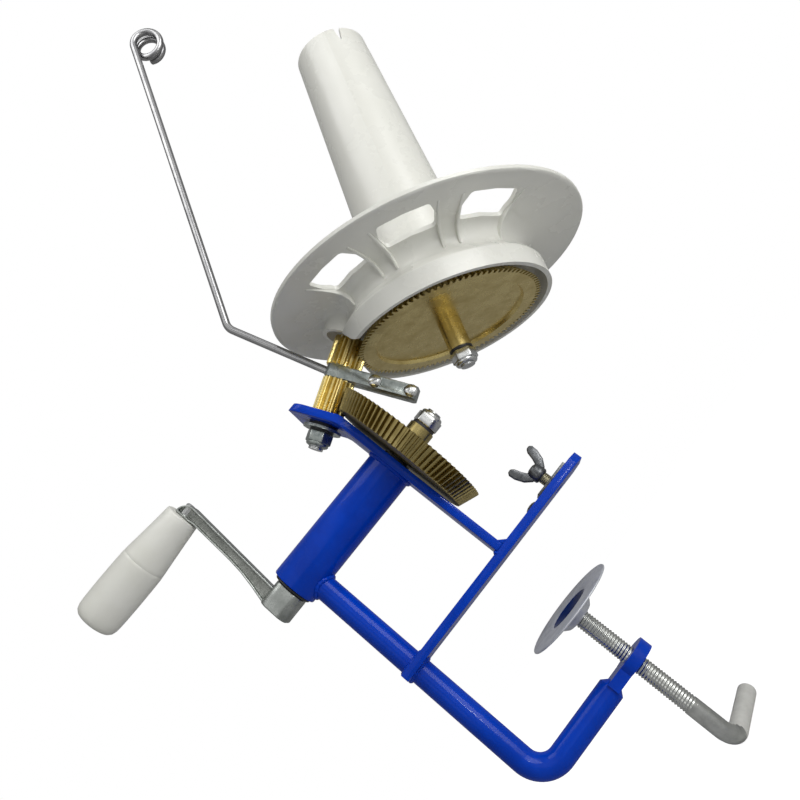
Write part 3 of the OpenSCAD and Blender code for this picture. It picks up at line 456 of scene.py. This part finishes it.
block_face, block_middle, screw_reaches = 0.006, 0.0119, (0.0207, 0.0412)
for number, reach in enumerate(screw_reaches):
    seat = on_main @ Matrix.Translation((block_face, reach, block_middle)) @ Matrix.Rotation(pi / 2, 4, "Y")
    head = slotted_head(seat @ Matrix.Rotation(0.6 + number, 4, "Z"))
    screw_head = hand_over(head, "block_screw_%d" % (number + 1), "frame", bright_zinc)
    if number == 0:
        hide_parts("block_screws")

# Guide wire: hard drawn steel wire, bent once over a former and curled into a pigtail at its end. It leads
# the yarn to the cone. Drawing leaves it bright, with fine lines and a few duller lengths.
wire_steel = surface("drawn_wire", (0.4, 0.4, 0.4), (0.29, 0.29, 0.3), 0.2, 0.34, metal=1.0, patch=140,
                     swell=900, grain=0.5, depth=8e-6)
wire_r, bend_r, curl_r, curl_pitch = 0.00225, 0.009, 0.0086, 0.006075
wire_l, climb, curl_points, points_a_turn = 0.214, radians(60.2), 66, 36
mouth, knee = on_main @ Vector((0, -0.008, block_middle)), on_main @ Vector((0, -0.0728, 0.0208))
first, second = (knee - mouth).normalized(), Vector((0, cos(climb), sin(climb)))
half = first.angle(second) / 2
inner = knee + (second - first).normalized() * bend_r / cos(half)
swing = knee - first * bend_r * sin(half) / cos(half) - inner
route = [mouth - first * 0.003]
route += [inner + Matrix.Rotation(-2 * half * k / 10, 3, "X") @ swing for k in range(11)]
route += [knee + second * (wire_l * k / 6) for k in range(1, 6)]
eyelet = knee + second * wire_l + Vector((0, second.z, -second.y)) * curl_r
for k in range(curl_points):
    turns = k / points_a_turn
    angle = climb + pi / 2 - 2 * pi * turns
    r = curl_r * (1 - max(0, turns - 1) / 4)
    route.append(eyelet + Vector((-curl_pitch * max(0, turns - 0.125), r * cos(angle), r * sin(angle))))
wire = hand_over(drawn(route, wire_r, sides=20), "guide_wire_drawn", "frame", wire_steel)
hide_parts("guide_wire")

# Toothed brass: the drive gear, its pinion, the fixed pinion and the ring gear are cut from bar and plate
# on a lathe and a hobber, and keep their turning rings and a thin film of oil. The drive gear is painted
# darker as painted shade, and its back is painted matt black as the shadow that falls under the gear.
spool_at, spool_way = Vector((0, 0.115835, 0.167575)), Vector((0, 0.492424, 0.870356))
on_spool = stand(spool_at, spool_way)


def brass(name, place, across=3000.0, along=0.0, painted_shade=1.0):
    """Brass with lathe rings, from the axis outwards or from end to end, darkened by any painted shade."""
    clean, worn = [painted_shade * c for c in (0.74, 0.6, 0.25)], [painted_shade * c for c in (0.58, 0.455, 0.17)]
    return surface(name, clean, worn, 0.24, 0.38, metal=1.0, patch=110, swell=700, grain=0.5, depth=6e-6,
                   rings=(across, along, 1.5, 7e-6), axis=place)


def painted_back_shadow(skin, back_face):
    """The skin painted matt black, as painted shadow, on the face of a piece that looks back along Y."""
    tree = skin.node_tree
    shader = tree.nodes["Principled BSDF"].inputs
    bare_tone, bare_gloss = [shader[name].links[0].from_socket for name in ("Base Color", "Roughness")]
    place = made(tree, "SeparateXYZ", {0: tree.nodes["Texture Coordinate"].outputs["Object"]})
    bare = ranged(tree, place.outputs["Y"], (back_face + 0.0003, back_face + 0.0009), (0, 1))
    tree.links.new(blend(tree, bare, (0.02, 0.018, 0.012, 1), bare_tone, "RGBA"), shader["Base Color"])
    tree.links.new(blend(tree, bare, 1.0, bare_gloss, "FLOAT"), shader["Roughness"])
    tree.links.new(bare, shader["Metallic"])
    return skin


# Painted shade: the drive gear's brass is dimmed, and its back face is painted matt black for the shadow
# there.
dress(painted_back_shadow(brass("drive_brass", on_crank, painted_shade=0.55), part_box("drive_gear")[0][1]), "drive_gear")
dress(brass("ring_brass", on_spool), "ring_gear")
dress(brass("pinion_brass", on_main, across=0.0, along=4200.0), "drive_pinion", "sun_pinion")


# Shafts and lock nuts: bright zinc plated rod with a rolled thread, and hexagon nuts with a pressed collar
# over their nylon ring, which stay where they are set.
def threaded(name, place, lead=0.00125):
    """Zinc plated rod, shaded as a rolled thread."""
    return surface(name, (0.62, 0.63, 0.63), (0.52, 0.53, 0.53), 0.22, 0.32, metal=1.0, patch=240,
                   swell=1200, grain=0.5, depth=1e-5, rings=(0.0, 2 * pi / lead, 0.2, 1.2e-4), axis=place)


dress(threaded("main_thread", on_main), "main_shaft")
dress(threaded("spool_thread", on_spool), "spool_shaft")
dress(threaded("crank_thread", on_crank), "crank_shaft")
nut_r, nut_h = 0.0074, 0.006


def lock_nut(node, body, place, zinc):
    """A hexagon nut and its pressed collar, for its node."""
    bm = turned([(0.004, 0.0058), (0.0061, 0.0058), (0.0062, 0.0068), (0.0058, 0.0075), (0.0048, 0.008),
                 (0.004, 0.008)], steps=64)
    six = bmesh.ops.create_cone(bm, cap_ends=True, segments=6, radius1=nut_r, radius2=nut_r, depth=nut_h,
                                matrix=Matrix.Translation((0, 0, nut_h / 2)))["verts"]
    rounded(bm, [e for e in bm.edges if e.verts[0] in six and e.verts[1] in six], 0.0006, 3)
    bm.transform(place)
    nut = hand_over(bm, node + "_pressed", body, zinc, crease=50)
    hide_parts(node)


past_gear, under_ring, under_tab = 0.0241, -0.095146, -0.0221
over = Matrix.Rotation(pi, 4, "X")
lock_nut("drive_nut", "crank", stand(crank_at, crank_way, past_gear), bright_zinc)
lock_nut("spool_nut", "spool", stand(spool_at, spool_way, under_ring) @ over, bright_zinc)
# Painted shade: the tab nut takes the darker dull zinc, for the shadow it sits in.
lock_nut("tab_nut", "carrier", stand(main_at, main_way, under_tab) @ over, block_zinc)
hand_over(turned([(0.0041, -0.0205), (0.0063, -0.0205), (0.0065, -0.0207), (0.0065, -0.0219),
                  (0.0063, -0.0221), (0.0041, -0.0221)], on_main, steps=64),
          "tab_nut_washer", "carrier", nylon)
dress(block_zinc, "tab_washer")

# Crank arm: cast in zinc alloy with a channel down each side, and fixed to its shaft by a square hub. The
# casting is left as it comes from the mould, with soft edges and a lightly pitted skin.
casting = surface("cast_alloy", (0.42, 0.44, 0.42), (0.27, 0.29, 0.27), 0.26, 0.42, metal=1.0, patch=150,
                  swell=900, grain=0.8, depth=4e-5)
# The channels' floors take a darker, rougher skin than the arm's faces.
channel_casting = surface("channel_casting", (0.26, 0.27, 0.25), (0.15, 0.16, 0.145), 0.42, 0.6, metal=0.85,
                      patch=260, swell=900, grain=1.0, depth=9e-5)
arm_side = [(-0.0985, 0.0815), (-0.0962, 0.0915), (-0.0945, 0.101), (-0.0937, 0.11), (-0.0926, 0.1385),
            (-0.0931, 0.1415), (-0.0931, 0.1511)]
arm_tip = [pi / 2 * k / 8 for k in range(9)]
arm_side += [(-0.0926 + 0.0066 * sin(angle), 0.1440 + 0.0072 * cos(angle)) for angle in arm_tip]
arm_side += [(-0.0892, 0.0815)]
arm_thick, channel_rim, channel_slope, channel_depth = 0.008, 0.0009, 0.0004, 0.0019


def plate_of(outline, thick):
    """A flat plate: its outline, as (y, z), grown to both sides of the plane X = 0."""
    bm = bmesh.new()
    flank = bm.faces.new([bm.verts.new((-thick / 2, y, z)) for y, z in outline])
    grown = bmesh.ops.extrude_face_region(bm, geom=[flank])["geom"]
    bmesh.ops.translate(bm, vec=(thick, 0, 0), verts=corners_in(grown))
    bmesh.ops.recalc_face_normals(bm, faces=bm.faces)
    return bm


def add_to(bm, part):
    """One mesh goes into another as it stands."""
    mesh = bpy.data.meshes.new("part")
    part.to_mesh(mesh)
    part.free()
    bm.from_mesh(mesh)
    bpy.data.meshes.remove(mesh)


bm = plate_of(arm_side, arm_thick)
for flank in [f for f in bm.faces if abs(f.normal.x) > 0.99]:
    bmesh.ops.inset_region(bm, faces=[flank], thickness=channel_rim, use_even_offset=True)
    bmesh.ops.inset_region(bm, faces=[flank], thickness=channel_slope, use_even_offset=True)
    bmesh.ops.translate(bm, vec=-channel_depth * flank.normal, verts=flank.verts)
    flank.material_index = 1
rounded(bm, sharp(bm, 32), 0.0006, 3, clamp=True)
hub = bmesh.new()
hub_size, hub_at, hub_corner = (0.016, 0.0142, 0.017, 1), (0, -0.0914, 0.0745), 0.0052
bmesh.ops.create_cube(hub, size=1, matrix=Matrix.Translation(hub_at) @ Matrix.Diagonal(hub_size))
along_shaft = [e for e in hub.edges if abs(e.verts[0].co.y - e.verts[1].co.y) > hub_size[1] / 2]
rounded(hub, along_shaft, hub_corner, 7)
rounded(hub, sharp(hub, 60), 0.0008, 3)
add_to(bm, hub)
arm = hand_over(bm, "cast_arm", "crank", casting, crease=40)
arm.data.materials.append(channel_casting)
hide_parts("crank_arm")

# Grip: turned or moulded in white plastic, slim at the arm and fuller past a fine groove. It turns freely
# on its spindle, and its face shows the riveted head of the spindle in a recess.
grip_white = surface("grip_white", (0.85, 0.85, 0.79), (0.79, 0.79, 0.72), 0.3, 0.42, patch=40, swell=120,
                     grain=0.2, depth=6e-5)
grip_place = Matrix.Translation((0, -0.0934, 0.147)) @ Matrix.Rotation(pi / 2, 4, "X")
slim_part = [(0.00305, 0), (0.0088, 0), (0.0093, 0.0003), (0.0096, 0.001), (0.0099, 0.0045),
             (0.0104, 0.0105), (0.0108, 0.0145), (0.0113, 0.0195), (0.0118, 0.0245), (0.0123, 0.0292),
             (0.01245, 0.031)]
groove = [(0.01233, 0.0313), (0.0125, 0.0316)]
full_part = [(0.01262, 0.0328), (0.01272, 0.0365), (0.0128, 0.044), (0.0128, 0.052), (0.01265, 0.06),
             (0.0125, 0.0645), (0.0122, 0.0672), (0.0115, 0.0692), (0.0104, 0.0703), (0.0088, 0.0707)]
recess = [(0.00488, 0.0708), (0.0049, 0.0579), (0.00305, 0.0576)]
grip = hand_over(turned(slim_part + groove + full_part + recess, grip_place, steps=72),
                 "turned_grip", "grip", grip_white, crease=40)
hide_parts("crank_grip")
spindle = hand_over(turned([(0, -0.0074), (0.0022, -0.0074), (0.0029, -0.0067), (0.0029, 0.0583),
                            (0.0044, 0.0583), (0.0045, 0.0588), (0.0042, 0.0598), (0.0034, 0.0606),
                            (0, 0.0609)], grip_place, steps=48, closed=False),
                    "riveted_spindle", "crank", bright_zinc)
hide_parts("grip_spindle")

# Carrier and cone: both moulded in off-white plastic with a soft gloss. The carrier holds the cone aslant
# on the main shaft and swings its flange under the ball; the cone turns in it and takes the yarn. The cup's
# wall ends on a slant at the lip of the hood, and the windows' corners are rounded.
moulded = surface("moulded_white", (0.83, 0.83, 0.77), (0.79, 0.79, 0.725), 0.22, 0.34, patch=25,
                  swell=60, grain=0.15, depth=1.2e-4)
dress(moulded, "yarn_cone")
wall_inside, window_low, window_in, window_out = 0.0565, -0.06, 0.058, 0.082
lip_start, lip_end, lip_top, lip_slant = radians(22.5), radians(33), -0.0681, 0.059
bm = bmesh.new()
bm.from_mesh(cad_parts["spool_carrier"].data)
bm.transform(on_spool.inverted())
bmesh.ops.remove_doubles(bm, verts=bm.verts, dist=2e-6)
trimmed = []
for vert in bm.verts:
    out, off = sqrt(vert.co.x ** 2 + vert.co.y ** 2), atan2(vert.co.y, vert.co.x) + pi / 2
    reach = max(abs(off), lip_start)
    lip = lip_top - lip_slant * (reach - lip_start)
    if out > wall_inside and reach < lip_end and vert.co.z < lip:
        angle = -pi / 2 + (reach if off > 0 else -reach)
        vert.co = (out * cos(angle), out * sin(angle), lip)
        trimmed.append(vert)
bmesh.ops.remove_doubles(bm, verts=trimmed, dist=3e-4)
bmesh.ops.dissolve_limit(bm, angle_limit=radians(0.5), verts=bm.verts, edges=bm.edges)
window_corners = []
for edge in sharp(bm, 15):
    a, b = edge.verts[0].co, edge.verts[1].co
    upright = abs(a.x - b.x) + abs(a.y - b.y) < 1e-5
    if upright and window_in < sqrt(a.x ** 2 + a.y ** 2) < window_out and a.z > window_low:
        window_corners.append(edge)
rounded(bm, window_corners, 0.0032, 6, clamp=True)
bm.transform(on_spool)
carrier = hand_over(bm, "moulded_carrier", "carrier", moulded, crease=30)
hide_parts("spool_carrier")

# Carrier webs: a thin rib on each side of every window, moulded in one with the carrier. It curves out from
# the cup's wall under the flange and stiffens it.
web_side = [(0.0532, -0.0612), (0.0546, -0.0606), (0.0562, -0.0572), (0.0592, -0.0544), (0.064, -0.0525),
            (0.0705, -0.051), (0.0785, -0.0497), (0.0785, -0.0487), (0.066, -0.0495), (0.0532, -0.0508)]
window_angles, web_angle, web_thick = (50, 86, 122), 13.4, 0.0014
bm = bmesh.new()
for side in (-1, 1):
    for window_angle in window_angles:
        for edge_angle in (-web_angle, web_angle):
            web = plate_of(web_side, web_thick)
            rounded(web, sharp(web, 60), 0.0003, 2)
            turn = radians(side * (window_angle + edge_angle) - 180)
            web.transform(on_spool @ Matrix.Rotation(turn, 4, "Z"))
            add_to(bm, web)
hand_over(bm, "carrier_webs", "carrier", moulded)

# Clamp pad: a zinc plated disc, pressed from sheet with a sunk middle, and crimped over the ball of the
# screw so that it doesn't turn against the table. It hangs a little aslant on its ball.
screw_at = Matrix.Translation((0, -0.004, 0))
pad_zinc = surface("pad_zinc", (0.66, 0.68, 0.72), (0.5, 0.52, 0.56), 0.3, 0.45, metal=0.45, patch=120,
                   swell=500, grain=0.4, depth=2e-5, rings=(6000.0, 0.0, 1.0, 6e-6), axis=screw_at)
recess_navy = surface("navy_recess", (0.006, 0.02, 0.1), (0.012, 0.03, 0.13), 0.16, 0.3, gloss=0.6, patch=200,
               swell=500, grain=0.3, depth=2e-5)
ball = Vector((0, 0, -0.0466))
lean = Matrix.Translation(ball) @ Matrix.Rotation(radians(7), 4, "Y") @ Matrix.Translation(-ball)
pad = hand_over(turned([(0.0119, -0.0383), (0.0126, -0.0378), (0.0134, -0.0376), (0.0262, -0.0376),
                        (0.0268, -0.0378), (0.027, -0.0382), (0.0268, -0.0386), (0.0150, -0.0388),
                        (0.0134, -0.0393), (0.0120, -0.0404), (0.0096, -0.0432), (0.0080, -0.0446),
                        (0.0062, -0.0451), (0.0050, -0.0450), (0.0049, -0.0440), (0.0046, -0.0432),
                        (0, -0.0431)], screw_at @ lean, steps=128, closed=False),
                "pressed_pad", "pad", pad_zinc, crease=40)
# The sunk middle is coloured a glossy dark navy.
hand_over(turned([(0, -0.0408), (0.0014, -0.0409), (0.0024, -0.0413), (0.0026, -0.0420), (0.0062, -0.0421),
                  (0.0084, -0.0415), (0.0119, -0.0383)], screw_at @ lean, steps=96, closed=False),
          "pad_recess", "pad", recess_navy, crease=40)
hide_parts("clamp_pad")

# Clamp screw: zinc plated rod with a rolled thread, its ball in the pad and its lower end bent over as a
# handle, its grip in a lighter satin zinc as painted light. It runs in the threaded eye of the frame's arm.
handle_turn = radians(144)
handle_at = screw_at @ Matrix.Rotation(handle_turn, 4, "Z")
screw_zinc = surface("screw_zinc", (0.6, 0.61, 0.58), (0.4, 0.41, 0.39), 0.13, 0.26, metal=1.0, patch=180,
                     swell=700, grain=0.6, depth=1e-5)
painted_light_satin = surface("painted_light_satin_zinc", (0.74, 0.74, 0.7), (0.62, 0.62, 0.58), 0.4, 0.55, metal=0.3, patch=160,
                swell=700, grain=0.6, depth=1.5e-5)
lead, root, crest, thread_top, thread_turns, thread_steps = 0.0015, 0.0040, 0.0045, -0.0452, 42, 24
ridge = [(root, thread_top), (crest, thread_top - 0.36 * lead), (crest, thread_top - 0.5 * lead),
         (root, thread_top - 0.86 * lead), (root, thread_top - lead)]
bm = bmesh.new()
bmesh.ops.spin(bm, geom=traced(bm, ridge, closed=False), cent=(0, 0, 0), axis=(0, 0, 1),
               dvec=(0, 0, -lead / thread_steps), angle=-2 * pi * thread_turns,
               steps=thread_steps * thread_turns, use_merge=False)
bmesh.ops.remove_doubles(bm, verts=bm.verts, dist=2e-6)
bmesh.ops.recalc_face_normals(bm, faces=bm.faces)
bm.transform(handle_at)
hand_over(bm, "screw_thread", "screw", screw_zinc, crease=50)
hand_over(turned([(0, -0.0433), (0.003, -0.0434), (0.0044, -0.0440), (0.0045, -0.0449), (0.0040, -0.0454),
                  (0.0040, -0.0470), (0, -0.0470)], handle_at, steps=48, closed=False),
          "screw_ball", "screw", bright_zinc)
elbow_r, elbow_top, handle_reach, painted_light_from = 0.008, -0.122, 0.0415, 0.0052
elbow = [(elbow_r - elbow_r * cos(pi / 2 * k / 10), 0, elbow_top - elbow_r * sin(pi / 2 * k / 10))
         for k in range(11)]
handle_z = elbow_top - elbow_r
bm = drawn([(0, 0, -0.1065), (0, 0, -0.108)] + elbow + [(0.02, 0, handle_z), (handle_reach, 0, handle_z)],
           crest, sides=32)
bm.transform(handle_at)
handle = hand_over(bm, "screw_handle", "screw", screw_zinc, crease=40)
handle.data.materials.append(painted_light_satin)
in_handle = handle_at.inverted()
# Painted light: the grip past the bend takes the lighter satin zinc.
for face in handle.data.polygons:
    if (in_handle @ face.center).x > painted_light_from:
        face.material_index = 1
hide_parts("clamp_screw")

# Wing bolt and guard clip: cast wings on a zinc plated bolt that clamps a small sheet clip on the bar, and
# the rivet that stops the clip, all on the bar's free end.
wing_at = Matrix.Translation((0, 0.04, 0))
cast_zinc = surface("cast_zinc", (0.14, 0.145, 0.15), (0.05, 0.054, 0.058), 0.24, 0.5, metal=0.8, patch=420,
                    swell=1100, grain=0.5, depth=2e-5)
wing_lead = 0.001
wing_thread = surface("wing_thread", (0.62, 0.58, 0.4), (0.5, 0.46, 0.3), 0.24, 0.36, metal=1.0, patch=240,
                      swell=1200, grain=0.4, depth=8e-6, rings=(0.0, 2 * pi / wing_lead, 0.1, 1.5e-4),
                      axis=wing_at)
bm = turned([(0, 0.0102), (0.0036, 0.0102), (0.0042, 0.0108), (0.0044, 0.0125), (0.0042, 0.0152),
             (0.0035, 0.0168), (0.002, 0.0175), (0, 0.0176)], steps=48, closed=False)
ear_side = [(0.0018, 0.0118), (0.0048, 0.0122), (0.0078, 0.0156), (0.0096, 0.0204), (0.0098, 0.0238),
            (0.0088, 0.0252), (0.0068, 0.0252), (0.0055, 0.0236), (0.0044, 0.0198), (0.0032, 0.0172),
            (0.0018, 0.0168)]
ear_thick = 0.003
for half_turns in (0, 1):
    ear = plate_of(ear_side, ear_thick)
    rounded(ear, sharp(ear, 50), 0.0007, 4, clamp=True)
    ear.transform(Matrix.Rotation(half_turns * pi, 4, "Z"))
    add_to(bm, ear)
bm.transform(wing_at)
wings = hand_over(bm, "wing_head", "wing", cast_zinc, crease=40)
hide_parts("wing_bolt")
hand_over(turned([(0, 0.0004), (0.0026, 0.0004), (0.003, 0.0008), (0.003, 0.0108), (0, 0.0108)], wing_at,
                 steps=48, closed=False), "wing_shank", "wing", wing_thread)
eased("clip_plate", "clip", cast_zinc, 0.0003)
low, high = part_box("bar_rivet")
rivet_at = Matrix.Translation(((low[0] + high[0]) / 2, (low[1] + high[1]) / 2, 0))
head_r = (high[0] - low[0]) / 2
shank_r, head_low = 0.6 * head_r, bar_top - 0.0001
rivet = hand_over(turned([(0, low[2]), (shank_r, low[2]), (shank_r, head_low), (head_r, head_low),
                          (0.97 * head_r, 0.0051), (0.78 * head_r, 0.0058), (0.45 * head_r, 0.0063),
                          (0, 0.0065)], rivet_at, steps=48, closed=False),
                  "low_rivet", "frame", cast_zinc)
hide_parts("bar_rivet")
